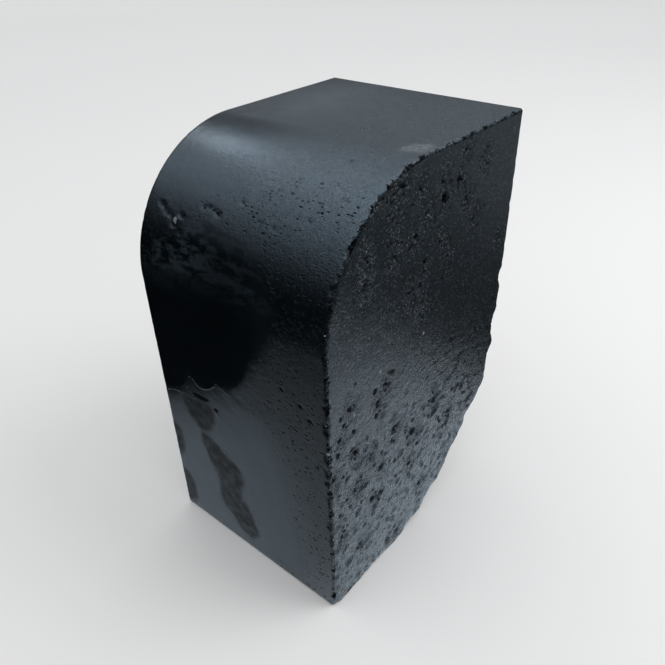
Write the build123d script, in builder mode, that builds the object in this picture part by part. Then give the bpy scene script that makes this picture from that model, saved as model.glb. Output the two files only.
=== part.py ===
"""Concrete kerb block for the edge of block paving.

One pressed block, standing on its foot as it is laid. Its section has a large bullnose on the top
front edge and a splay on the lower rear edge, so that the block can be turned over to show either
one. The other arrises are the small radii that the mould leaves.

Frame: X runs along the kerb line, -Y is the exposed front and +Z is up. The origin is on the ground,
under the middle of the block's bounding box. Sizes are in millimetres, and angles in degrees.
"""

import os
from math import radians, tan

from build123d import *

# Overall size
kerb_length = 100.0
kerb_depth = 127.0
kerb_height = 190.0

# Section
bullnose_radius = 56.0
splay_setback = 58.0
splay_angle = 45.0
splay_shoulder_radius = 7.0
splay_foot_radius = 5.0
mould_arris_radius = 1.5

# Rim of the two end faces, where the block left the press
end_arris_radius = 1.0

# Places that follow from the sizes
front = -kerb_depth / 2
rear = kerb_depth / 2
splay_foot = rear - splay_setback
splay_shoulder = splay_setback * tan(radians(splay_angle))

# Each corner of the section as its depth and height, and the radius that rounds it
corner_radii = {
    (front, 0): mould_arris_radius,
    (splay_foot, 0): splay_foot_radius,
    (rear, splay_shoulder): splay_shoulder_radius,
    (rear, kerb_height): mould_arris_radius,
    (front, kerb_height): bullnose_radius,
}

# The block is its section pressed to length, with a worn rim round both end faces
with BuildPart() as kerb_block:
    # The section is drawn sharp and then rounded, corner by corner
    with BuildSketch(Plane.YZ) as section:
        with BuildLine():
            Polyline(*corner_radii, close=True)
        make_face()
        for place, radius in corner_radii.items():
            fillet(section.vertices().sort_by_distance(place)[0], radius)
    extrude(amount=kerb_length / 2, both=True)
    end_faces = kerb_block.faces().filter_by(Plane.YZ)
    fillet(end_faces.edges(), end_arris_radius)

kerb_block.part.label = "kerb_block"

os.makedirs("parts", exist_ok=True)
export_step(kerb_block.part, "parts/kerb_block.step")
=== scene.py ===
"""Looks of a kerb block of black sealed concrete.

The block is one closed mesh, which stands for the solid in the frame. A grid follows the section
along the moulded faces, a fine net fills the two end faces, and then each point is pressed inwards
to make the open texture, the pits, the ragged arrises and the wear at the foot and up the rear.

Lengths are in metres, apart from the lists that say millimetres. +Z is up, the bullnose faces -Y,
and the kerb line runs along X.
"""

from collections import namedtuple
from math import ceil, cos, pi, radians, sin, tan
from types import SimpleNamespace

import bpy
import numpy as np
from mathutils import Matrix, Vector, kdtree, noise
from mathutils.geometry import delaunay_2d_cdt


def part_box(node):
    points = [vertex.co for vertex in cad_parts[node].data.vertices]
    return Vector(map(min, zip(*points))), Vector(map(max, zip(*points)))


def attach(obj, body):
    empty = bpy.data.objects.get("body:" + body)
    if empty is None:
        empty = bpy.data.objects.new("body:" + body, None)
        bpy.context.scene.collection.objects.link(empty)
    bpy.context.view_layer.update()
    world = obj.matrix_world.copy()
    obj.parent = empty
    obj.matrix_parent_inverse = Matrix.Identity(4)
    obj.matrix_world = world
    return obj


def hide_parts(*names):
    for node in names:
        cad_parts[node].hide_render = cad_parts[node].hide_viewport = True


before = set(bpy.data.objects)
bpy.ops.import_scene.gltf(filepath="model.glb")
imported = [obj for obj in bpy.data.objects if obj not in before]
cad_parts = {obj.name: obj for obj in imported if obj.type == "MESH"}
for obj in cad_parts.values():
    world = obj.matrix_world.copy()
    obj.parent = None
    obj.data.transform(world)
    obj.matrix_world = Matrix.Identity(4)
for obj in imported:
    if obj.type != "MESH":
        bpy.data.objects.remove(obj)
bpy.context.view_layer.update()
block_low, block_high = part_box("kerb_block")

# Overall size, from the frame
half_length = block_high.x
front, rear = block_low.y, block_high.y
foot, top = block_low.z, block_high.z

# Section, as in the solid
bullnose_radius = 0.056
splay_setback = 0.058
splay_shoulder_radius = 0.007
splay_foot_radius = 0.005
mould_arris_radius = 0.0015
end_arris_radius = 0.001

# Spacing of the mesh
fine_step = 0.0009
plain_step = 0.0022
hidden_step = 0.003
arc_step = 0.0005
right_net_step = 0.00075
left_net_step = 0.0019
right_first_row = 0.00045
left_first_row = 0.0009
widest_row = 0.0013
row_growth = 1.08
rim_rows = 3

# How far in from an arris the pressing direction starts to lean over it
lean_reach = 0.012

# Clear strip between the net's own points and its rim, against the net's step
rim_clearance = 0.6

# Points of the net that are closer than this are one point
join_distance = 1e-7

# How often the corners of a drawn line are cut
corner_cuts = 2

random_seed = 20

Corner = namedtuple("Corner", "y z radius step")
Outline = namedtuple("Outline", "points outward height")
Part = namedtuple("Part", "places directions height rim end")
Pit = namedtuple("Pit", "place radius depth")
Scatter = namedtuple("Scatter", "fewest most spread largest")


def smooth(low, high, value):
    """0 below low, 1 above high, and an even ramp between them."""
    share = np.clip((value - low) / (high - low), 0, 1)
    return share * share * (3 - 2 * share)


def lumps(points, size, shift=0.0):
    """Smooth noise between about -1 and 1, with lumps of that size, at each point."""
    move = Vector((shift, 2 * shift, -shift))
    return np.array([noise.noise(Vector(point) / size + move) for point in points])


def linked(name, data):
    """An object in the scene that holds this data."""
    piece = bpy.data.objects.new(name, data)
    bpy.context.scene.collection.objects.link(piece)
    return piece


# Mesh of the block

def section_outline():
    """The rounded section, anticlockwise seen from +X, starting at the front foot."""
    splay_foot = rear - splay_setback
    splay_shoulder = foot + splay_setback
    corners = [
        Corner(front, foot, mould_arris_radius, hidden_step),
        Corner(splay_foot, foot, splay_foot_radius, plain_step),
        Corner(rear, splay_shoulder, splay_shoulder_radius, plain_step),
        Corner(rear, top, mould_arris_radius, fine_step),
        Corner(front, top, bullnose_radius, fine_step),
    ]
    places = [Vector((corner.y, corner.z)) for corner in corners]
    nexts = [(index + 1) % len(corners) for index in range(len(corners))]
    runs = [(places[after] - place).normalized() for place, after in zip(places, nexts)]
    points, outward = [], []
    for index, corner in enumerate(corners):
        arrive, leave, after = runs[index - 1], runs[index], nexts[index]
        turn = arrive.angle(leave)
        out = Vector((arrive.y, -arrive.x))
        start = places[index] - arrive * corner.radius * tan(turn / 2)
        centre = start - out * corner.radius
        step = fine_step if corner.radius == bullnose_radius else arc_step
        count = ceil(corner.radius * turn / step)
        for part in range(count + 1):
            direction = Matrix.Rotation(turn * part / count, 2) @ out
            points.append(centre + direction * corner.radius)
            outward.append(direction)
        next_turn = leave.angle(runs[after])
        finish = places[after] - leave * corners[after].radius * tan(next_turn / 2)
        begin = points[-1]
        count = round((finish - begin).length / corner.step)
        for part in range(1, count):
            points.append(begin.lerp(finish, part / count))
            outward.append(outward[-1])
    points, outward = np.array(points), np.array(outward)
    lengths = np.linalg.norm(np.roll(points, -1, axis=0) - points, axis=1)
    height = lengths[::-1].cumsum()[::-1]
    return Outline(points, outward, height)


def fanned(outline):
    """Outward directions that turn over each corner gradually, so that deep chips don't fold."""
    fans = []
    for point in outline.points:
        gap = np.linalg.norm(outline.points - point, axis=1)
        weight = np.clip(1 - gap / lean_reach, 0, 1)
        total = (outline.outward * weight[:, None]).sum(axis=0)
        fans.append(total / np.linalg.norm(total))
    return np.array(fans)


def lean_angle(gap):
    """How far the pressing direction leans over an arris, at this distance from it."""
    return pi / 4 * np.clip(1 - gap / lean_reach, 0, 1)


def row_places():
    """X of each row of the grid and how far it is inset, from the left end to the right end."""
    inner = half_length - end_arris_radius
    rim = []
    for part in range(rim_rows):
        angle = pi / 2 * part / rim_rows
        rim.append((inner + end_arris_radius * cos(angle), end_arris_radius * (1 - sin(angle))))

    def inwards(first):
        """Distances from the rim with steps that grow up to the widest one."""
        places, step = [0.0], first
        while step < widest_row:
            places.append(places[-1] + step)
            step *= row_growth
        return places

    left = [-inner + gap for gap in inwards(left_first_row)]
    right = [inner - gap for gap in reversed(inwards(right_first_row))]
    count = round((right[0] - left[-1]) / widest_row)
    middle = list(np.linspace(left[-1], right[0], count + 1)[1:-1])
    rows = [(-x, inset) for x, inset in rim]
    rows += [(x, 0.0) for x in left + middle + right]
    rows += [(x, inset) for x, inset in reversed(rim)]
    return rows


def net_points(rim, step):
    """Staggered points that fill the inside of a rim, kept off the rim itself."""
    low, high = rim.min(axis=0), rim.max(axis=0)
    rows = np.arange(low[1], high[1], step * sin(pi / 3))
    inside = []
    edge = np.roll(rim, -1, axis=0) - rim
    out = np.stack((edge[:, 1], -edge[:, 0]), axis=1)
    out /= np.linalg.norm(out, axis=1)[:, None]
    for number, z in enumerate(rows):
        y = np.arange(low[0] + step / 2 * (number % 2), high[0], step)
        spots = np.stack((y, np.full_like(y, z)), axis=1)
        beyond = ((spots[:, None, :] - rim[None]) * out[None]).sum(axis=2).max(axis=1)
        inside.append(spots[beyond < -rim_clearance * step])
    return np.concatenate(inside)


class BlockMesh:
    """Places, directions and faces of the block before anything is pressed into it."""

    def __init__(self):
        self.outline = section_outline()
        self.fans = fanned(self.outline)
        self.parts = []
        self.faces = []
        rows = row_places()
        for x, inset in rows:
            self.add_row(x, inset)
        self.join_rows(len(rows))
        around = len(self.outline.points)
        self.fill_end(first=(len(rows) - 1) * around, side=1, step=right_net_step)
        self.fill_end(first=0, side=-1, step=left_net_step)
        whole = Part(*[np.concatenate(values) for values in zip(*self.parts)])
        self.places, self.directions, self.height, self.rim, self.end = whole

    def add_row(self, x, inset):
        """One ring of points round the block, with its lean towards the nearer end."""
        count = len(self.outline.points)
        points = self.outline.points - self.outline.outward * inset
        gap = half_length - abs(x)
        lean = lean_angle(gap)
        places = np.column_stack((np.full(count, x), points))
        sideways = np.full(count, sin(lean) * np.sign(x))
        directions = np.column_stack((sideways, self.fans * cos(lean)))
        end = np.full(count, smooth(0, end_arris_radius, end_arris_radius - gap))
        rim = np.full(count, gap)
        self.parts.append(Part(places, directions, self.outline.height, rim, end))

    def join_rows(self, rows):
        """Quads between each ring and the next."""
        around = len(self.outline.points)
        for row in range(rows - 1):
            for index in range(around):
                after = (index + 1) % around
                a, b = row * around + index, row * around + after
                self.faces.append((a, b, b + around, a + around))

    def fill_end(self, first, side, step):
        """Triangles across one end face, which share the ring of points at its rim."""
        around = len(self.outline.points)
        rim = self.outline.points - self.outline.outward * end_arris_radius
        inner = net_points(rim, step)
        spots = [Vector(spot) for spot in np.concatenate((rim, inner))]
        triangles = delaunay_2d_cdt(spots, [], [list(range(around))], 1, join_distance)[2]
        offset = sum(len(part.places) for part in self.parts)
        for triangle in triangles:
            numbers = [first + i if i < around else offset + i - around for i in triangle]
            self.faces.append(tuple(numbers) if side > 0 else tuple(reversed(numbers)))
        gaps, nearest = [], []
        for spot in inner:
            distance = np.linalg.norm(self.outline.points - spot, axis=1)
            nearest.append(distance.argmin())
            gaps.append(distance.min())
        gap = np.array(gaps)
        lean = lean_angle(gap)
        count = len(inner)
        places = np.column_stack((np.full(count, side * half_length), inner))
        upwards = self.fans[nearest] * np.sin(lean)[:, None]
        directions = np.column_stack((side * np.cos(lean), upwards))
        height = self.outline.height[nearest]
        self.parts.append(Part(places, directions, height, gap, np.ones(count)))


# Fields over the moulded faces. Each outline is drawn on the front face unrolled, in millimetres:
# X along the kerb line, and the height up the front and on over the bullnose.

clear_gloss = [
    (-49.5, 141.1), (-44.0, 149.0), (-36.8, 152.6), (-27.2, 154.1), (-25.4, 158.5),
    (-29.5, 162.0), (-36.3, 163.9), (-41.2, 166.3), (-38.7, 167.7), (-33.0, 165.9),
    (-24.5, 164.1), (-17.5, 164.0), (-13.7, 166.8), (-5.0, 166.8), (4.0, 167.2), (15.0, 166.0),
    (24.0, 161.5), (30.0, 153.2), (31.5, 139.9), (28.5, 128.3), (22.5, 115.0), (12.0, 99.0),
    (-3.0, 90.0), (-17.6, 88.0), (-28.1, 83.0), (-43.7, 73.0), (-54.0, 70.0), (-54.0, 140.0),
]
dull_band = [
    (-52.0, 138.5), (-42.7, 142.7), (-33.1, 143.5), (-20.9, 145.6), (-9.4, 146.7), (1.0, 150.7),
    (5.5, 149.1), (1.7, 142.4), (-8.1, 136.5), (-18.8, 135.3), (-30.2, 134.0), (-41.3, 131.0),
    (-52.0, 130.0),
]
pale_film = [
    (-56.0, 74.0), (-45.8, 78.3), (-38.2, 80.3), (-29.6, 90.7), (-25.2, 89.5), (-20.8, 88.4),
    (-14.1, 93.3), (-7.4, 96.1), (-2.1, 95.6), (5.5, 98.9), (15.0, 101.0), (25.0, 98.0),
    (33.0, 85.0), (40.0, 60.0), (45.0, 30.0), (47.0, -6.0), (-56.0, -6.0),
]
bare_streaks = [
    [
        (-38.0, 78.1), (-31.5, 79.1), (-20.9, 81.7), (-15.4, 79.5), (-14.8, 72.4), (-20.8, 61.9),
        (-27.8, 60.9), (-33.2, 65.2), (-37.5, 71.3),
    ],
    [
        (-29.2, 61.0), (-22.2, 61.0), (-14.4, 56.5), (-5.7, 53.2), (-2.0, 48.1), (-0.3, 41.5),
        (-5.5, 32.7), (-0.2, 28.4), (3.2, 18.4), (5.9, 13.4), (-1.4, 4.1), (-7.9, 7.1),
        (-12.8, 12.2), (-19.0, 17.7), (-22.4, 23.1), (-19.4, 32.0), (-22.9, 39.7), (-26.8, 49.0),
    ],
    [(-56.0, 55.0), (-43.0, 55.0), (-42.0, 44.0), (-45.0, 33.0), (-56.0, 33.0)],
    [(-56.0, 26.0), (-43.0, 25.0), (-40.0, 14.1), (-40.5, 3.0), (-56.0, 0.0)],
]
dark_gaps = [
    [
        (-30.9, 81.7), (-26.5, 83.3), (-21.1, 83.8), (-16.0, 83.1), (-21.1, 80.4), (-27.2, 80.1),
    ],
    [(-15.9, 80.3), (-12.6, 81.0), (-11.6, 79.2), (-15.1, 78.0)],
]

# Lines along which the bullnose is pitted, drawn the same way
pitted_lines = [
    [(12.5, 169.0), (18.0, 164.0), (20.0, 160.0)],
    [(19.5, 156.0), (22.5, 154.0), (26.2, 151.0)],
    [(-17.0, 172.5), (-12.0, 170.0), (-7.5, 169.0)],
    [(1.0, 175.5), (6.0, 173.5), (11.0, 171.5)],
]

# A worn patch on the top, beside the right-hand arris, painted paler so that it also carries a
# painted highlight
worn_highlight_patch = [
    (36.5, 219.0), (42.0, 216.8), (49.0, 219.5), (49.5, 230.0), (43.5, 231.8), (38.0, 226.5),
]

# Crests where the film ran and set, along lines drawn the same way, each with its strength
film_crests = [
    (1.0, [
        (-52.0, 71.7), (-45.3, 76.8), (-39.9, 78.2), (-31.2, 79.1), (-22.2, 79.7), (-15.8, 78.5),
        (-11.2, 76.0),
    ]),
    (0.8, [
        (-32.2, 84.0), (-31.6, 89.3), (-29.0, 91.6), (-26.2, 90.2), (-23.6, 87.6), (-19.5, 88.4),
        (-15.8, 90.5), (-12.6, 93.6),
    ]),
    (0.5, [(-8.7, 94.4), (-3.5, 93.0), (4.1, 96.7)]),
    (0.8, [
        (-14.3, 57.2), (-10.5, 55.6), (-7.3, 55.3), (-5.2, 52.8), (-2.0, 52.8), (1.1, 50.5),
        (6.5, 49.9),
    ]),
    (0.3, [(-1.4, 47.1), (2.3, 36.8), (8.0, 25.5), (12.2, 11.2)]),
]


def metres(listed):
    """The rows of a list that is in millimetres, in metres."""
    return np.array(listed) / 1000


def rounded(places, closed):
    """A drawn line with its corners cut off evenly, so that it bends instead of breaking."""
    places = metres(places)
    for _ in range(corner_cuts):
        before = places if closed else places[:-1]
        after = np.roll(places, -1, axis=0) if closed else places[1:]
        cut = np.stack((0.75 * before + 0.25 * after, 0.25 * before + 0.75 * after), axis=1)
        cut = cut.reshape(-1, 2)
        places = cut if closed else np.concatenate((places[:1], cut, places[-1:]))
    return places


def away_from(points, start, finish):
    """The way to each point from the nearest place on a straight stretch."""
    run = finish - start
    share = np.clip(((points - start) @ run) / (run @ run), 0, 1)
    return points - start - share[:, None] * run


def inside_depth(points, corners):
    """How far inside an outline each point is, in metres, and below zero outside it."""
    corners = rounded(corners, closed=True)
    nearest = np.full(len(points), np.inf)
    inside = np.zeros(len(points), bool)
    for start, finish in zip(corners, np.roll(corners, -1, axis=0)):
        gap = np.linalg.norm(away_from(points, start, finish), axis=1)
        nearest = np.minimum(nearest, gap)
        run = finish - start
        crosses = (start[1] > points[:, 1]) != (finish[1] > points[:, 1])
        slope = run[0] / (run[1] if run[1] else 1e-9)
        inside ^= crosses & (points[:, 0] < start[0] + slope * (points[:, 1] - start[1]))
    return np.where(inside, nearest, -nearest)


def side_of_line(points, places):
    """Distance from an open drawn line, above zero on its left and below zero on its right."""
    places = rounded(places, closed=False)
    nearest = np.full(len(points), np.inf)
    signed = np.zeros(len(points))
    for start, finish in zip(places[:-1], places[1:]):
        run = finish - start
        away = away_from(points, start, finish)
        gap = np.linalg.norm(away, axis=1)
        side = np.sign(run[0] * away[:, 1] - run[1] * away[:, 0])
        closer = gap < nearest
        nearest = np.where(closer, gap, nearest)
        signed = np.where(closer, gap * side, signed)
    return signed


# Pits and chips of the photographed faces, in millimetres. Those of the moulded faces are given as
# X, unrolled height, radius and depth, and those of the end face as Y, Z, radius and depth.

bullnose_chips = [
    (-40.6, 165.7, 1.3, 0.9), (-38.7, 164.5, 1.2, 1.0), (-36.0, 163.6, 1.3, 1.2),
    (-33.5, 162.8, 1.2, 1.1), (-31.2, 160.6, 1.4, 1.1), (-27.8, 163.7, 1.2, 1.0),
    (-26.3, 164.2, 1.0, 0.8), (-26.4, 157.6, 1.1, 0.7), (-15.2, 171.2, 1.0, 0.9),
    (-17.3, 170.0, 1.1, 0.8), (-9.8, 169.4, 1.2, 1.0), (-12.6, 169.8, 0.8, 0.6),
    (-0.9, 176.2, 0.8, 0.7), (10.4, 172.1, 0.9, 0.6), (17.0, 171.5, 0.9, 0.6),
    (28.7, 205.4, 0.9, 0.7), (30.1, 177.8, 0.9, 0.6), (38.7, 188.1, 0.8, 0.5),
]
front_holes = [
    (28.1, 112.2, 0.8, 0.6), (36.7, 108.1, 0.8, 0.6), (41.3, 103.4, 0.9, 0.7),
    (44.1, 82.4, 0.8, 0.5), (30.0, 43.0, 0.8, 0.4),
]
upper_end_holes = [
    (6.8, 169.5, 2.0, 2.2), (4.9, 176.2, 1.2, 1.2), (-20.4, 182.8, 1.4, 1.3),
    (-22.5, 183.8, 1.2, 1.0), (-24.6, 157.8, 1.3, 1.5), (-11.6, 160.9, 1.6, 1.2),
    (-4.9, 147.8, 1.4, 1.2), (-7.3, 138.8, 1.3, 1.2), (-4.5, 143.8, 1.1, 0.9),
    (16.5, 173.5, 1.5, 1.2), (-5.3, 167.2, 1.3, 1.1), (20.1, 184.6, 1.3, 0.9),
    (30.2, 153.0, 1.4, 1.0), (12.0, 144.2, 1.2, 0.9), (-22.4, 161.6, 1.0, 0.9),
    (-27.3, 179.2, 1.0, 0.9), (-26.2, 172.5, 1.1, 0.9), (5.2, 152.2, 1.2, 0.9),
    (-15.4, 157.4, 1.2, 0.9), (-34.1, 183.4, 1.2, 1.0), (55.4, 135.2, 1.1, 0.6),
    (-41.2, 164.3, 1.0, 0.8), (-41.4, 154.4, 1.0, 0.8), (-14.1, 138.7, 1.1, 0.8),
    (23.0, 164.0, 1.1, 0.8), (-10.0, 178.0, 1.2, 0.9), (35.0, 176.0, 1.1, 0.7),
    (-6.0, 125.0, 1.1, 0.8),
]
lower_end_holes = [
    (-57.1, 95.6, 1.2, 1.3), (-37.2, 72.5, 1.9, 1.3), (-35.8, 46.5, 1.8, 1.2),
    (-56.7, 41.2, 1.3, 1.0), (-16.2, 7.1, 1.9, 1.1), (-23.6, 6.6, 1.9, 1.0),
    (-47.1, 82.0, 1.4, 1.2), (-19.8, 76.5, 2.2, 1.3), (-6.5, 64.8, 2.4, 1.3),
    (-29.7, 61.4, 1.9, 1.3), (-61.0, 78.6, 1.4, 1.0), (-8.4, 46.6, 1.9, 1.0),
    (-51.0, 106.8, 1.1, 0.8), (-33.0, 98.0, 1.5, 1.0), (-28.0, 104.0, 1.4, 1.0),
    (10.0, 72.0, 2.0, 1.1), (24.0, 56.0, 1.9, 1.1), (-48.0, 62.0, 1.4, 1.0),
    (-44.0, 25.0, 1.6, 1.0), (2.0, 25.0, 1.8, 1.0),
]

# Grains of pale stone that show through: X, Y, Z and radius, in millimetres
pale_grains = [
    (-31.0, -55.3, 161.5, 1.6), (49.7, -3.0, 115.2, 0.9), (49.7, -32.2, 112.9, 0.9),
    (49.0, -62.8, 93.0, 1.0), (48.9, -62.6, 129.0, 0.9), (49.6, -48.0, 102.0, 0.8),
]

# Worn stretches of the right-hand arris, at the foot and up the rear: place on the section, reach
# along the arris, and depth, in millimetres
arris_wear = [
    (6.0, 0.0, 20.0, 2.2), (-32.0, 0.0, 8.0, 1.0), (30.0, 24.0, 5.0, 0.8),
    (45.0, 40.0, 5.0, 1.0), (63.5, 64.0, 12.0, 2.1), (63.5, 86.0, 10.0, 1.6),
    (63.5, 113.0, 5.0, 1.3), (-63.5, 0.0, 4.0, 1.1),
]

# Small pits round each upper hole, round each lower one, and in loose clusters low down
upper_scatter = Scatter(4, 10, 0.0026, 0.0009)
lower_scatter = Scatter(2, 6, 0.0035, 0.0012)
loose_scatter = Scatter(2, 5, 0.0030, 0.0013)
loose_clusters = 20
smallest_pit = 0.0006

# How much taller than wide the clusters are
cluster_tallness = 1.5

# How ragged the right-hand arris is at heights up the unrolled front and on over the top
ragged_heights = (0, 0.13, 0.17, 0.21, 0.24, 0.30)
ragged_levels = (1, 1, 1.1, 0.95, 0.7, 0.7)

# How ragged the left arrises are against the right ones, and the end faces against the moulded ones
left_raggedness = 0.3
end_raggedness = 0.35

# The unrolled height up to which things are drawn, and a distance that counts as far from them
drawn_height = 0.30
far_off = 0.05

# The depth at which a pit's painted shade is as dark as it gets
dark_depth = 0.0008


def on_front(block, x, height):
    """The place in space of a point of the unrolled front."""
    index = np.abs(block.outline.height - height).argmin()
    return Vector((x, *block.outline.points[index]))


def listed_pits(block):
    """The pits that the photographed faces show, at their own places."""
    pits = []
    for x, height, radius, depth in metres(bullnose_chips + front_holes):
        pits.append(Pit(on_front(block, x, height), radius, depth))
    for y, z, radius, depth in metres(upper_end_holes + lower_end_holes):
        pits.append(Pit(Vector((half_length, y, z)), radius, depth))
    return pits


def cluster(random, side, y, z, scatter):
    """Small pits gathered round one place of an end face."""
    pits = []
    for _ in range(random.integers(scatter.fewest, scatter.most)):
        pit_y = random.normal(y, scatter.spread)
        pit_z = random.normal(z, cluster_tallness * scatter.spread)
        radius = random.uniform(smallest_pit, scatter.largest)
        depth = radius * random.uniform(0.5, 0.9)
        pits.append(Pit(Vector((side * half_length, pit_y, pit_z)), radius, depth))
    return pits


def scattered_pits(block):
    """Smaller pits round the large ones, and more over the coarse lower part of both end faces."""
    random = np.random.default_rng(random_seed)
    pits = []
    for side in (1, -1):
        for y, z, *_ in metres(upper_end_holes):
            pits += cluster(random, side, y, z, upper_scatter)
        for y, z, *_ in metres(lower_end_holes):
            pits += cluster(random, side, y, z, lower_scatter)
        for _ in range(loose_clusters):
            y, z = random.uniform(front, rear), random.triangular(foot, 0.030, 0.110)
            pits += cluster(random, side, y, z, loose_scatter)
    for y, z, radius, depth in metres(upper_end_holes + lower_end_holes):
        pits.append(Pit(Vector((-half_length, -y, z)), radius, depth))
    return pits


def near_holes(block):
    """1 close to the clusters of holes in the end faces and 0 away from them."""
    x, y, z = block.places.T
    y = np.where(x < 0, -y, y)
    gaps = np.full(len(block.places), np.inf)
    for hole_y, hole_z, *_ in metres(upper_end_holes + lower_end_holes):
        gaps = np.minimum(gaps, np.hypot(y - hole_y, (z - hole_z) / cluster_tallness))
    return block.end * (1 - smooth(0.002, 0.0075, gaps + 0.002 * lumps(block.places, 0.004)))


def pressed_pits(block, pits):
    """How deep the pits reach at each point. Their edges are uneven."""
    tree = kdtree.KDTree(len(block.places))
    for number, place in enumerate(block.places):
        tree.insert(Vector(place), number)
    tree.balance()
    depth = np.zeros(len(block.places))
    uneven = 1 + 0.60 * lumps(block.places, 0.0016, shift=3.1)
    for pit in pits:
        for _, number, gap in tree.find_range(pit.place, pit.radius * 1.5):
            share = gap * uneven[number] / pit.radius
            if share < 1:
                depth[number] = max(depth[number], pit.depth * (1 - share ** 2) ** 1.2)
    return depth


def ragged_share(block):
    """How ragged the arrises of the end faces are at each point: most on the right and in front."""
    share = np.interp(block.height, ragged_heights, ragged_levels)
    return share * np.where(block.places[:, 0] > 0, 1.0, left_raggedness)


def ragged_arris(block):
    """How deep the bites in the arrises of the two end faces are at each point."""
    points = block.places
    share = ragged_share(block)
    straight = points * (0.5, 1, 1)
    wide = smooth(0.0, 0.5, lumps(straight, 0.0041, shift=7.7))
    fine = smooth(-0.1, 0.5, lumps(straight, 0.0019, shift=2.9))
    reach = 0.0002 + (0.0014 * wide + 0.0012 * fine) * share
    reach = np.where(block.end > 0.5, 0.4 * reach, reach)
    bottom = 0.00025 + 0.0008 * np.abs(lumps(points, 0.0017, shift=1.3))
    return smooth(0.0, 0.0007, reach - block.rim) * bottom * np.sqrt(share)


def worn_arris(block):
    """How deep the right-hand arris is worn away at the foot and up the rear."""
    depth = np.zeros(len(block.places))
    for y, z, reach, most in metres(arris_wear):
        gap = np.linalg.norm(block.places[:, 1:] - (y, z), axis=1)
        along = 1 - smooth(0.3 * reach, reach, gap)
        across = 1 - smooth(0.0, 2.6 * most, half_length - block.places[:, 0])
        rim = 1 - smooth(0.0, 2.6 * most, block.rim)
        depth = np.maximum(depth, 1.2 * most * along * across * rim)
    return depth * (1 + 0.35 * lumps(block.places, 0.004, shift=4.4))


def end_texture(block):
    """How deep the open texture of the end faces is at each point."""
    points = block.places
    low = 1 - smooth(0.060, 0.125, points[:, 2])
    swell = 0.00010 * (1 + lumps(points, 0.013, shift=2.2))
    rough = 0.00006 * lumps(points, 0.0030, shift=5.5) * (1 + 1.5 * low)
    craters = smooth(0.10, 0.55, lumps(points, 0.0038, shift=9.2)) * low * 0.00045
    worn = near_holes(block) * 0.00025 * (1 + lumps(points, 0.0017, shift=3.3))
    return block.end * (0.0001 + swell + rough + craters + worn)


def moulded_texture(block):
    """How deep the faint waves of the moulded faces are at each point."""
    wave = 0.00004 * lumps(block.places, 0.026, shift=6.1)
    ripple = 0.000012 * lumps(block.places, 0.007, shift=8.3)
    return (1 - block.end) * (0.00006 + wave + ripple)


def drawn_fields(block):
    """The drawn outlines and crests as values at each point of the mesh."""
    unrolled = np.column_stack((block.places[:, 0], block.height))
    drawn_on = np.flatnonzero(block.height < drawn_height)
    drawn = {
        "gloss": [clear_gloss],
        "dull_band": [dull_band],
        "film": [pale_film],
        "streak": bare_streaks,
        "gap": dark_gaps,
        "worn_highlight_patch": [worn_highlight_patch],
    }
    fields = {}
    for name, outlines in drawn.items():
        depths = [inside_depth(unrolled[drawn_on], outline) for outline in outlines]
        fields[name] = np.full(len(block.places), -far_off)
        fields[name][drawn_on] = np.max(depths, axis=0)
    lines = [np.abs(side_of_line(unrolled[drawn_on], line)) for line in pitted_lines]
    fields["pitted"] = np.zeros(len(block.places))
    fields["pitted"][drawn_on] = 1 - smooth(0.0006, 0.0026, np.min(lines, axis=0))
    fields["crest"] = np.full(len(block.places), far_off)
    fields["crest_near"] = np.zeros(len(block.places))
    for strength, line in film_crests:
        gap = side_of_line(unrolled[drawn_on], line)
        near = strength * (1 - smooth(0.0012, 0.0026, np.abs(gap)))
        closer = np.abs(gap) < np.abs(fields["crest"][drawn_on])
        fields["crest"][drawn_on[closer]] = gap[closer]
        fields["crest_near"][drawn_on[closer]] = near[closer]
    return fields


def kerb_block():
    """The block's mesh with everything pressed into it, and the fields its material reads."""
    block = BlockMesh()
    pits = pressed_pits(block, listed_pits(block) + scattered_pits(block))
    crumbled = ragged_arris(block)
    depth = end_texture(block) + moulded_texture(block)
    depth += np.maximum(np.maximum(pits, crumbled), worn_arris(block))
    places = block.places - block.directions * depth[:, None]
    places[:, 2] = np.maximum(places[:, 2], foot)

    mesh = bpy.data.meshes.new("kerb_block")
    mesh.from_pydata(places.tolist(), [], block.faces)
    mesh.polygons.foreach_set("use_smooth", [True] * len(mesh.polygons))
    fields = drawn_fields(block)
    fields.update({
        "end_face": block.end,
        "hollow": np.clip(pits / dark_depth, 0, 1),
        "rim": block.rim,
        "ragged": ragged_share(block) * np.where(block.end > 0.5, end_raggedness, 1.0),
        "cluster": near_holes(block),
    })
    for name, values in fields.items():
        attribute = mesh.attributes.new(name, "FLOAT", "POINT")
        attribute.data.foreach_set("value", values.astype(np.float32))
    return linked("kerb_block_finish", mesh)


# Materials

Pores = namedtuple("Pores", "size share radius")


def colour(red, green, blue):
    """A linear colour with full alpha."""
    return (red, green, blue, 1.0)


# Pores and crumbs: spacing in metres, how common they are, and radius against the spacing
fine_flecks = Pores(0.00085, 0.30, 0.43)
coarse_flecks = Pores(0.0014, 0.18, 0.36)
strokes = Pores(0.0012, 0.40, 0.40)
line_pits = Pores(0.0011, 0.55, 0.42)
fine_holes = Pores(0.00085, 0.40, 0.44)
coarse_holes = Pores(0.0020, 0.26, 0.38)
pinholes = Pores(0.0009, 0.14, 0.36)
# Crumbs along the arris, whose pale colour is a painted glint of chips that face the sky
crumbs = Pores(0.0010, 0.16, 0.42)
specks = Pores(0.0010, 0.24, 0.40)

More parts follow.
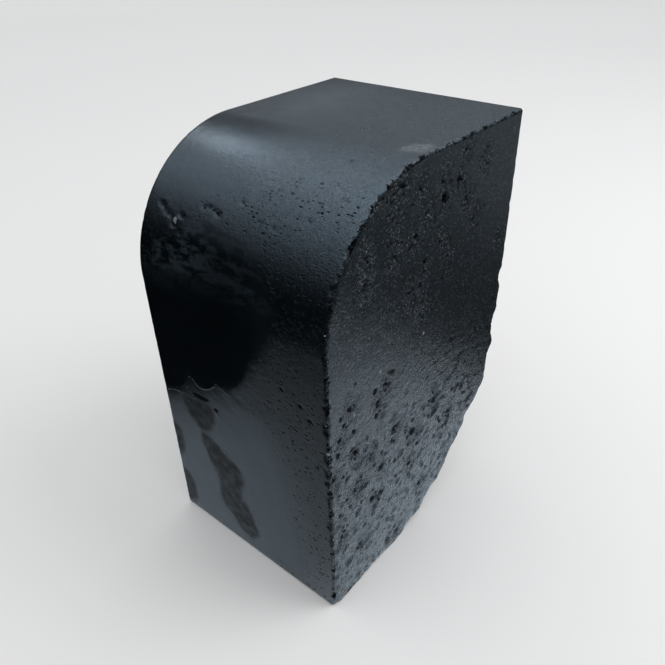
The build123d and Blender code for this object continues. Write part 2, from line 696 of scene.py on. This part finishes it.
# Colours of the concrete and of what lies on it
deep_black = colour(0.0006, 0.0014, 0.0022)
soft_black = colour(0.0014, 0.0026, 0.0036)
cloud_grey = colour(0.010, 0.013, 0.016)
haze_grey = colour(0.015, 0.021, 0.026)
# Pale of the worn patch, which is partly a painted highlight
worn_highlight_grey = colour(0.100, 0.107, 0.114)
bare_brown = colour(0.0070, 0.0062, 0.0056)
raw_black = colour(0.0012, 0.0022, 0.0030)
raw_grey = colour(0.0050, 0.0066, 0.0080)
sand_grey = colour(0.052, 0.059, 0.065)
shaded_hollow_black = colour(0.0008, 0.0012, 0.0015)
crumb_glint_grey = colour(0.22, 0.235, 0.25)
speck_grey = colour(0.14, 0.15, 0.16)
stone_grey = colour(0.16, 0.17, 0.18)

# Tints of what the surface reflects
sealer_shine = colour(0.74, 0.88, 1.0)
thin_shine = colour(0.18, 0.21, 0.23)
shaded_hollow_shine = colour(0.02, 0.02, 0.02)

sealer_ior = 1.55
sealer_specular = 0.6


class Nodes:
    """Adds nodes to a node tree and links them to each other."""

    def __init__(self, tree):
        self.tree = tree
        self.tree.nodes.clear()

    def add(self, kind, inputs, output=0, **settings):
        """A node with these settings, with its inputs set or linked. Returns one output, if any."""
        node = self.tree.nodes.new("ShaderNode" + kind)
        for name, value in settings.items():
            setattr(node, name, value)
        for name, value in inputs.items():
            if isinstance(value, bpy.types.NodeSocket):
                self.tree.links.new(value, node.inputs[name])
            else:
                node.inputs[name].default_value = value
        return node.outputs[output] if node.outputs else None

    def place(self, factors=None):
        """Position on the object itself, in metres, or scaled to draw out what lies on it."""
        position = self.add("TexCoord", {}, output="Object")
        if factors is None:
            return position
        return self.add("VectorMath", {0: position, 1: factors}, operation="MULTIPLY")

    def direction(self, factors=None):
        """Direction of the place, seen from the object's origin."""
        return self.add("VectorMath", {0: self.place(factors)}, operation="NORMALIZE")

    def measure(self, operation, *vectors):
        """A number taken from one vector or two, such as the distance between them."""
        return self.add("VectorMath", dict(enumerate(vectors)), output="Value", operation=operation)

    def field(self, name):
        """A value that the mesh carries at each point."""
        return self.add("Attribute", {}, output="Fac", attribute_name=name)

    def fold(self, operation, values):
        """The values taken together, from the first to the last."""
        result = values[0]
        for value in values[1:]:
            result = self.add("Math", {0: result, 1: value}, operation=operation)
        return result

    def sum(self, *values):
        return self.fold("ADD", values)

    def times(self, *values):
        return self.fold("MULTIPLY", values)

    def most(self, *values):
        return self.fold("MAXIMUM", values)

    def less(self, first, second):
        return self.fold("SUBTRACT", (first, second))

    def flip(self, value):
        """One less the value."""
        return self.less(1.0, value)

    def size_of(self, value):
        """The value without its sign."""
        return self.add("Math", {0: value}, operation="ABSOLUTE")

    def ramp(self, value, low, high, start=0.0, finish=1.0):
        """Start below low, finish above high, and an even ramp between them."""
        inputs = {"Value": value, "From Min": low, "From Max": high}
        inputs.update({"To Min": start, "To Max": finish})
        return self.add("MapRange", inputs, interpolation_type="SMOOTHSTEP")

    def along(self, axis, low, high, start=0.0, finish=1.0):
        """A ramp along X, Y or Z of the object, in metres."""
        place = self.add("SeparateXYZ", {"Vector": self.place()}, output=axis)
        return self.ramp(place, low, high, start, finish)

    def noise(self, size, detail=2.0, roughness=0.5, shift=0.0, factors=None):
        """Noise between 0 and 1 with lumps of that size, in metres."""
        inputs = {"Vector": self.place(factors), "Scale": 1 / size, "Detail": detail}
        inputs.update({"Roughness": roughness, "W": shift})
        return self.add("TexNoise", inputs, noise_dimensions="4D")

    def swing(self, size, amount, detail=2.0, roughness=0.5, shift=0.0, factors=None):
        """Noise that swings evenly about zero, of that amount from end to end."""
        noise_level = self.noise(size, detail, roughness, shift, factors)
        return self.times(self.less(noise_level, 0.5), amount)

    def cells(self, size, output="Distance", factors=None):
        """Distance to the middle of the nearest grain, or that grain's own colour."""
        inputs = {"Vector": self.place(factors), "Scale": 1 / size}
        return self.add("TexVoronoi", inputs, output=output)

    def pores(self, kind, factors=None):
        """Round pores with crisp edges, in the grains whose random level is high. 1 in a pore."""
        level = self.cells(kind.size, "Color", factors)
        gap = self.cells(kind.size, "Distance", factors)
        pick = self.ramp(level, 1 - kind.share, 1 - kind.share + 0.02)
        return self.times(pick, self.ramp(gap, 0.6 * kind.radius, kind.radius, 1.0, 0.0))

    def near(self, point, radius):
        """1 at a point of the object and 0 further from it than the radius."""
        gap = self.measure("DISTANCE", self.place(), point)
        return self.ramp(gap, 0.6 * radius, radius, 1.0, 0.0)

    def blend(self, share, first, second):
        """The first value where share is 0 and the second where it is 1."""
        return self.add("Mix", {0: share, 2: first, 3: second})

    def tint(self, share, first, second):
        """The first colour where share is 0 and the second where it is 1."""
        inputs = {0: share, 6: first, 7: second}
        return self.add("Mix", inputs, output=2, data_type="RGBA")


def blank_material(name):
    """A material without any nodes, and what adds nodes to it."""
    material = bpy.data.materials.new(name)
    material.use_nodes = True
    return material, Nodes(material.node_tree)


def film_masks(n):
    """Where the sealer is clear, dull, pale, bare or open, each between 0 and 1."""
    wander = n.swing(0.006, 0.007, 3.0, 0.6)
    blotches = n.swing(0.011, 0.022, 6.0, 0.70, shift=1.5, factors=(0.8, 1.6, 1.6))
    at_top = n.along("Z", 0.138, 0.156)
    gloss_depth = n.sum(n.field("gloss"), n.times(blotches, n.blend(at_top, 0.35, 1.0)))
    gloss_edge = n.along("X", -0.008, 0.018, 0.0030, 0.0170)
    gloss = n.ramp(gloss_depth, -0.0008, gloss_edge)
    dull = n.ramp(n.sum(n.field("dull_band"), n.times(blotches, 0.5)), -0.0030, 0.0040)
    film_depth = n.sum(n.field("film"), n.times(wander, 0.20))
    film_edge = n.along("X", -0.010, 0.022, 0.0006, 0.0220)
    film = n.ramp(film_depth, 0.0, film_edge)
    streak_depth = n.sum(n.field("streak"), n.times(blotches, 0.14), n.times(wander, 0.35))
    mottle = n.ramp(n.noise(0.0045, 4.0, 0.65, shift=8.0), 0.35, 0.62, 0.62, 1.0)
    streak = n.times(n.ramp(streak_depth, -0.0018, 0.0028), mottle)
    gap = n.ramp(n.sum(n.field("gap"), n.times(wander, 0.1)), -0.0002, 0.0005)
    return n.times(gloss, n.flip(film)), dull, film, streak, gap


def haze_on_gloss(n, gloss, dull):
    """Grey blotches on the clear sealer: most at its upper left, and a faint band below them."""
    blotches = n.noise(0.0080, 6.0, 0.75, shift=4.2, factors=(0.8, 1.8, 1.8))
    upper = n.times(n.along("Z", 0.136, 0.150), n.along("X", -0.026, 0.000, 1.0, 0.4))
    faint = n.times(dull, n.ramp(n.noise(0.0050, 8.0, 0.80, shift=4.9), 0.40, 0.58))
    haze = n.most(n.times(n.ramp(blotches, 0.46, 0.56), upper), n.times(faint, 0.20))
    return n.times(haze, gloss)


def bitten_arris(n):
    """Small ragged bites out of the arris, 1 in a bite. They reach furthest on the moulded side."""
    drawn_in = (0.7, 1.0, 1.0)
    wide = n.ramp(n.noise(0.0050, 3.0, 0.6, shift=9.0, factors=drawn_in), 0.48, 0.62, 0.0, 0.0013)
    fine = n.swing(0.0009, 0.0062, 3.0, 0.65, shift=9.5, factors=drawn_in)
    reach = n.times(n.sum(wide, fine), n.field("ragged"))
    return n.ramp(n.less(reach, n.field("rim")), -0.00005, 0.00012)


def face_masks(n):
    """Where each kind of surface lies, as values between 0 and 1."""
    m = SimpleNamespace()
    m.end_face = n.field("end_face")
    m.moulded = n.flip(m.end_face)
    m.cluster = n.field("cluster")
    m.low = n.times(m.end_face, n.along("Z", 0.055, 0.125, 1.0, 0.0))
    m.upright = n.along("Z", 0.135, 0.160, 1.0, 0.0)
    m.rightward = n.along("X", -0.015, 0.040)
    m.bite = bitten_arris(n)
    m.gloss, m.dull, m.film, m.streak, m.gap = film_masks(n)
    m.haze = haze_on_gloss(n, m.gloss, m.dull)
    worn_highlight_depth = n.sum(n.field("worn_highlight_patch"), n.swing(0.003, 0.008, 5.0, 0.7))
    m.worn = n.ramp(worn_highlight_depth, -0.0005, 0.0030)
    m.grain = n.most(*[n.near(point, radius) for *point, radius in metres(pale_grains)])

    # Sandy where neither the gloss nor a film lies, and less so on the left of the bullnose
    m.sleek = n.times(n.along("X", -0.030, 0.020, 1.0, 0.0), n.along("Z", 0.160, 0.172))
    under_gloss = n.times(m.gloss, n.flip(n.times(m.dull, 0.3)))
    covered = n.most(under_gloss, n.times(m.film, n.flip(m.streak)))
    m.sandy = n.times(n.flip(covered), n.blend(m.sleek, 1.0, 0.40), m.moulded)
    m.open_sand = n.times(m.sandy, n.flip(m.gloss))
    m.grainy = n.times(m.end_face, n.blend(m.cluster, 0.55, 1.0))
    return m


def add_hollows(n, m):
    """Adds the pores, craters and swellings, and where the surface is hollow altogether."""
    drawn_out = (0.45, 1.0, 1.0)
    crowd = n.ramp(n.noise(0.0090, 3.0, 0.6, shift=3.0), 0.42, 0.60)
    fleck = n.most(
        n.times(n.pores(fine_flecks, drawn_out), n.blend(m.rightward, 0.30, 1.0)),
        n.times(n.pores(coarse_flecks, drawn_out), n.most(crowd, m.rightward)),
    )
    in_groups = n.blend(crowd, n.blend(m.upright, 0.3, 0.7), 1.0)
    off_top = n.along("Z", 0.178, 0.188, 1.0, 0.25)
    fleck = n.times(fleck, in_groups, m.open_sand, off_top)
    stroke = n.times(n.pores(strokes, drawn_out), m.upright, m.rightward, m.open_sand, 0.9)
    on_lines = n.times(n.pores(line_pits, drawn_out), n.field("pitted"), m.moulded)
    m.fleck = n.most(fleck, stroke, on_lines)

    hole = n.most(n.pores(fine_holes), n.times(n.pores(coarse_holes), m.cluster))
    m.hole = n.times(hole, m.end_face, n.most(m.cluster, n.times(m.low, crowd, 0.4)))
    m.pinhole = n.times(n.pores(pinholes), m.end_face)
    crater = n.ramp(n.noise(0.0019, 4.0, 0.65, shift=5.8), 0.54, 0.68)
    crater_crowd = n.ramp(n.noise(0.0080, 2.0, 0.5, shift=5.9), 0.40, 0.60, 0.3, 1.0)
    m.crater = n.times(crater, m.low, crater_crowd)
    m.swollen = n.times(n.ramp(n.noise(0.0026, 3.0, 0.6, shift=5.2), 0.52, 0.66), m.low)

    # Hollows are dark and dull: the sealer doesn't reach into them, and the shade in them is
    # painted into their colour and reflections
    pit = n.times(n.field("hollow"), n.blend(m.low, 1.0, 0.30))
    pore = n.times(n.most(m.hole, m.fleck), n.blend(m.low, 1.0, 0.4))
    hollow = n.most(pit, pore, m.gap, n.times(m.pinhole, 0.5), n.times(m.crater, 0.5), m.bite)
    m.hollow = n.times(hollow, n.flip(m.grain))


def relief_height(n, m):
    """Height of the relief that is too fine for the mesh, in metres."""
    sand = n.sum(n.times(m.sandy, 0.9), 0.06)
    calm = n.times(m.moulded, n.blend(m.gloss, 1.0, 0.25))
    open_end = n.times(m.end_face, m.cluster)
    broken = n.ramp(n.noise(0.0030, 2.0, 0.5, shift=2.5), 0.38, 0.62, 0.10, 1.0)
    crest = n.ramp(n.size_of(n.field("crest")), 0.0, 0.0008, 1.0, 0.0)
    crest = n.times(crest, n.field("crest_near"), broken)

    # Where each wave lies, and its size, height, detail, roughness and shift
    waves = [
        (sand, 0.00060, 0.00024, 2.0, 0.7, 0.0),
        (sand, 0.0020, 0.00014, 2.0, 0.5, 2.0),
        (calm, 0.012, 0.00022, 2.0, 0.5, 2.7),
        (m.end_face, 0.00060, 0.00034, 2.0, 0.7, 4.0),
        (open_end, 0.0011, 0.00085, 3.0, 0.7, 4.5),
        (m.low, 0.0011, 0.00060, 2.0, 0.6, 5.0),
        (m.low, 0.0030, 0.00045, 2.0, 0.5, 5.3),
    ]

    # Where each kind of mark lies, and how high it rises or how deep it is cut
    marks = [
        (m.crater, -0.00040),
        (m.swollen, 0.00050),
        (m.fleck, -0.00014),
        (m.hole, -0.00045),
        (m.pinhole, -0.00012),
        (m.bite, -0.00050),
        (crest, 0.00009),
        (m.film, 0.00005),
        (m.grain, 0.0004),
    ]
    heights = [n.times(n.swing(*wave), where) for where, *wave in waves]
    heights += [n.times(where, height) for where, height in marks]
    return n.sum(*heights)


def body_colour(n, m):
    """Colour of the concrete, laid on from the body to the stones that show through."""
    blotch = n.ramp(n.noise(0.018, 4.0, 0.6, shift=5.0), 0.3, 0.7)
    cloud = n.ramp(n.noise(0.0060, 6.0, 0.75, shift=5.6), 0.42, 0.70)
    on_top = n.times(n.along("Z", 0.180, 0.189), m.moulded)
    patchy = n.ramp(n.noise(0.0012, 3.0, 0.7, shift=5.7), 0.36, 0.56, 0.35, 1.0)
    raw = n.tint(n.noise(0.002, 3.0, 0.6, shift=6.0), raw_black, raw_grey)
    light_sand = n.ramp(n.cells(0.00052, "Color"), 0.74, 0.84)
    # Pale grains show more up the bullnose and on the top: painted light, where these faces turn up
    # towards the light
    painted_top_light = n.along("Z", 0.152, 0.180, 0.10, 0.50)
    arris = n.ramp(n.field("rim"), 0.0006, 0.0026, 1.0, 0.0)
    layers = [
        (n.times(cloud, on_top), cloud_grey),
        (m.haze, haze_grey),
        # A paler worn patch on the top, partly a painted highlight
        (n.times(m.worn, patchy), worn_highlight_grey),
        (m.streak, bare_brown),
        (m.end_face, raw),
        (n.times(light_sand, n.most(m.grainy, n.times(m.open_sand, painted_top_light))), sand_grey),
        (m.hollow, shaded_hollow_black),
        # Crumbs along the arris, painted pale as glints of chips that face the sky
        (n.times(n.pores(crumbs), arris, n.field("ragged")), crumb_glint_grey),
        (n.times(n.pores(specks, (1.1, 1.1, 1.1)), m.cluster, m.end_face), speck_grey),
        (m.grain, stone_grey),
    ]
    body = n.tint(blotch, deep_black, soft_black)
    for share, shade in layers:
        body = n.tint(share, body, shade)
    return body


def roughness(n, m):
    """How dull the surface is: least under the clear sealer and most in the hollows."""
    smudge = n.noise(0.009, 4.0, 0.6, shift=7.0)
    layers = [
        (m.upright, n.blend(smudge, 0.13, 0.20)),
        (m.sleek, 0.13),
        (m.gloss, n.blend(m.dull, 0.09, 0.20)),
        (m.film, 0.20),
        (m.streak, 0.60),
        (m.end_face, n.blend(smudge, 0.15, 0.22)),
        (m.hollow, 0.90),
    ]
    rough = n.blend(smudge, 0.13, 0.19)
    for share, level in layers:
        rough = n.blend(share, rough, level)
    return rough


def shine(n, m):
    """Tint of the reflections: full where the sealer is whole, faint where it is thin and at the
    left end of the top, and dimmed in the hollows by painted shade.
    """
    thin = n.times(n.along("Z", 0.138, 0.182, 1.0, 0.0), n.blend(m.rightward, 0.60, 0.95))
    dark_sand = n.ramp(n.cells(0.00060, "Color", (1.1, 1.1, 1.1)), 0.62, 0.76)
    open_grain = n.most(n.times(m.grainy, 0.9), n.times(m.open_sand, 0.5))
    faint = n.most(m.streak, n.times(m.open_sand, thin), n.times(dark_sand, open_grain))
    # Fainter reflections towards the left end of the top
    left_edge = n.times(n.along("X", -0.046, -0.022, 0.4, 0.0), n.along("Z", 0.177, 0.185))
    tint = n.tint(faint, sealer_shine, thin_shine)
    tint = n.tint(left_edge, tint, thin_shine)
    # Reflections are dimmed in the hollows: painted shade
    return n.tint(m.hollow, tint, shaded_hollow_shine)


def sealed_concrete():
    """Black concrete under a sealer: glossy where the film is whole, sandy where it is thin."""
    material, n = blank_material("sealed_concrete")
    m = face_masks(n)
    add_hollows(n, m)
    normal = n.add("Bump", {"Strength": 1.0, "Distance": 1.0, "Height": relief_height(n, m)})
    shader = n.add(
        "BsdfPrincipled",
        {
            "Base Color": body_colour(n, m),
            "Roughness": roughness(n, m),
            "Normal": normal,
            "IOR": sealer_ior,
            "Specular IOR Level": sealer_specular,
            "Specular Tint": shine(n, m),
        },
    )
    n.add("OutputMaterial", {"Surface": shader})
    return material


def plain_floor():
    """Pale matt floor."""
    material, n = blank_material("pale_floor")
    shade = n.tint(n.noise(0.5), colour(0.88, 0.885, 0.89), colour(0.90, 0.902, 0.905))
    inputs = {"Base Color": shade, "Roughness": 0.9, "Specular IOR Level": 0.1}
    n.add("OutputMaterial", {"Surface": n.add("BsdfPrincipled", inputs)})
    return material


def glowing(name, strength_of):
    """A reflector's material, whose brightness a function of the nodes gives."""
    material, n = blank_material(name)
    shader = n.add("Emission", {"Color": cool_white, "Strength": strength_of(n)})
    n.add("OutputMaterial", {"Surface": shader})
    material.cycles.emission_sampling = "NONE"
    return material


# Studio

Glow = namedtuple("Glow", "azimuth elevation width strength")

floor_size = 12.0
tent_radius = 2.0
tent_step = 3
screen_radius = 0.168
screen_height = 0.215
screen_foot = 0.0005
apron_height = 0.0004
centre_hole = 0.001
turned_sides = 96
soft_boxes = [
    Glow(-105, 45.5, 6, 3.4),
    Glow(-152, 18, 18, 0.16),
]
cool_white = colour(0.87, 1.0, 1.11)
plain_white = colour(1, 1, 1)

# Strength of the world as light on the block, and as the backdrop that is seen
world_light = 0.80
world_seen = 1.0

lamp_size = 0.7
lamp_power = 3.0
lamp_place = Vector((0.60, 0.42, 0.80))
lamp_aim = Vector((0, 0, 0.05))


def heading(azimuth, elevation):
    """Direction seen from the block. Azimuth 0 is -Y and grows towards +X."""
    a, e = radians(azimuth), radians(elevation)
    return Vector((sin(a) * cos(e), -cos(a) * cos(e), sin(e)))


def level_towards(n, azimuth):
    """How squarely a place lies towards an azimuth, seen from the block: 1 there, -1 behind."""
    return n.measure("DOT_PRODUCT", n.direction((1, 1, 0)), heading(azimuth, 0))


def sector(n, azimuth, outer, inner):
    """1 within the inner angle of an azimuth and 0 beyond the outer one, in degrees."""
    return n.ramp(level_towards(n, azimuth), cos(radians(outer)), cos(radians(inner)))


def round_card(n, direction, card):
    """The glow of a round card on the tent, which fades out towards its edge."""
    towards = n.measure("DOT_PRODUCT", direction, heading(card.azimuth, card.elevation))
    edge = cos(radians(card.width))
    return n.times(n.ramp(towards, edge, (1 + 2 * edge) / 3), card.strength)


def tent_glow(n):
    """Dark near the floor and bright overhead. The rear left stays dim until higher up."""
    direction = n.direction()
    height = n.most(n.add("SeparateXYZ", {"Vector": direction}, output="Z"), 0.0)
    sky = n.times(n.add("Math", {0: height, 1: 2.1}, operation="POWER"), 2.7)
    lower = n.ramp(height, 0.21, 0.29, 0.06, 0.66)
    between = n.ramp(height, 0.30, 0.44, 0.0, -0.54)
    upper = n.ramp(height, 0.56, 0.74, 0.0, 1.65)
    glow = n.blend(sector(n, -146, 55, 35), n.sum(sky, 0.04), n.sum(lower, between, upper))
    return n.sum(glow, *[round_card(n, direction, box) for box in soft_boxes])


def screen_glow(n):
    """The darker floor beyond the block: black at the front left, paler on the right and above."""
    right = n.ramp(level_towards(n, 130), 0.2, 0.8)
    glow = n.blend(right, 0.055, n.along("Z", 0.06, 0.14, 0.060, 0.24))
    glow = n.blend(sector(n, -52, 36, 18), glow, 0.009)
    return n.blend(n.along("Z", 0.165, 0.215), glow, 0.20)


def apron_glow(n):
    """Glow of the floor near the block as reflected, with light and shade painted in: lit on the
    right, in the block's shadow at the front, fading outwards.
    """
    radius = n.measure("LENGTH", n.place())
    right = n.ramp(level_towards(n, 100), 0.1, 0.8)
    front_fade = n.ramp(radius, 0.118, 0.175, 0.50, 0.30)
    right_fade = n.ramp(radius, 0.118, 0.150, 1.20, 0.10)
    return n.blend(right, front_fade, right_fade)


def turned(name, profile):
    """A surface turned about the Z axis from a list of radius and height."""
    points, faces = [], []
    for radius, height in profile:
        for side in range(turned_sides):
            angle = 2 * pi * side / turned_sides
            points.append((radius * cos(angle), radius * sin(angle), height))
    for level in range(len(profile) - 1):
        for side in range(turned_sides):
            after = (side + 1) % turned_sides
            a, b = level * turned_sides + side, level * turned_sides + after
            faces.append((a, b, b + turned_sides, a + turned_sides))
    mesh = bpy.data.meshes.new(name)
    mesh.from_pydata(points, [], faces)
    return mesh


def reflector(name, profile, strength_of):
    """A turned surface of the studio that only shows in what the block reflects."""
    mesh = turned(name, profile)
    mesh.materials.append(glowing(name, strength_of))
    piece = linked(name, mesh)
    for ray in ("camera", "diffuse", "shadow", "transmission", "volume_scatter"):
        setattr(piece, "visible_" + ray, False)


def studio():
    """Floor, reflectors, world and lamp."""
    half = floor_size / 2
    corners = [(-half, -half, 0), (half, -half, 0), (half, half, 0), (-half, half, 0)]
    mesh = bpy.data.meshes.new("floor")
    mesh.from_pydata(corners, [], [(0, 1, 2, 3)])
    mesh.materials.append(plain_floor())
    floor = linked("floor", mesh)

    rise = [radians(angle) for angle in range(0, 90, tent_step)]
    dome = [(tent_radius * cos(angle), tent_radius * sin(angle)) for angle in rise]
    reflector("tent", dome + [(centre_hole, tent_radius)], tent_glow)
    screen = [(screen_radius, screen_foot), (screen_radius, screen_height)]
    reflector("screen", screen, screen_glow)
    apron = [(centre_hole, apron_height), (screen_radius, apron_height)]
    reflector("apron", apron, apron_glow)

    world = bpy.data.worlds.new("studio")
    bpy.context.scene.world = world
    world.use_nodes = True
    world.cycles.sampling_method = "NONE"
    n = Nodes(world.node_tree)
    rays = ("Is Camera Ray", "Is Glossy Ray", "Is Transmission Ray")
    seen = n.most(*[n.add("LightPath", {}, output=ray) for ray in rays])
    strength = n.blend(seen, world_light, world_seen)
    light = n.add("Background", {"Color": plain_white, "Strength": strength})
    n.add("OutputWorld", {"Surface": light})

    lamp = bpy.data.lights.new("key", "AREA")
    lamp.shape = "DISK"
    lamp.size = lamp_size
    lamp.energy = lamp_power
    key = linked("key", lamp)
    key.location = lamp_place
    key.rotation_euler = (lamp_aim - lamp_place).to_track_quat("-Z", "Y").to_euler()


# Camera, as fitted to the block in the photograph

camera_place = Vector((0.16511, -0.19255, 0.26231))
camera_aim = Vector((0.00057, -0.00237, 0.095))
camera_roll = radians(-1.717)
camera_lens = 35.262
sensor_width = 36.0
nearest_seen = 0.01


def camera():
    """The photograph's point of view."""
    data = bpy.data.cameras.new("camera")
    data.lens = camera_lens
    data.sensor_width = sensor_width
    data.clip_start = nearest_seen
    piece = linked("camera", data)
    level = (camera_aim - camera_place).to_track_quat("-Z", "Y").to_matrix()
    turn = level @ Matrix.Rotation(camera_roll, 3, "Z")
    piece.matrix_world = Matrix.Translation(camera_place) @ turn.to_4x4()
    bpy.context.scene.camera = piece


# The scene

camera()
block = kerb_block()
block.data.materials.append(sealed_concrete())
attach(block, "root")
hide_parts("kerb_block")
studio()
bpy.context.scene.view_settings.view_transform = "Standard"

bpy.context.view_layer.update()
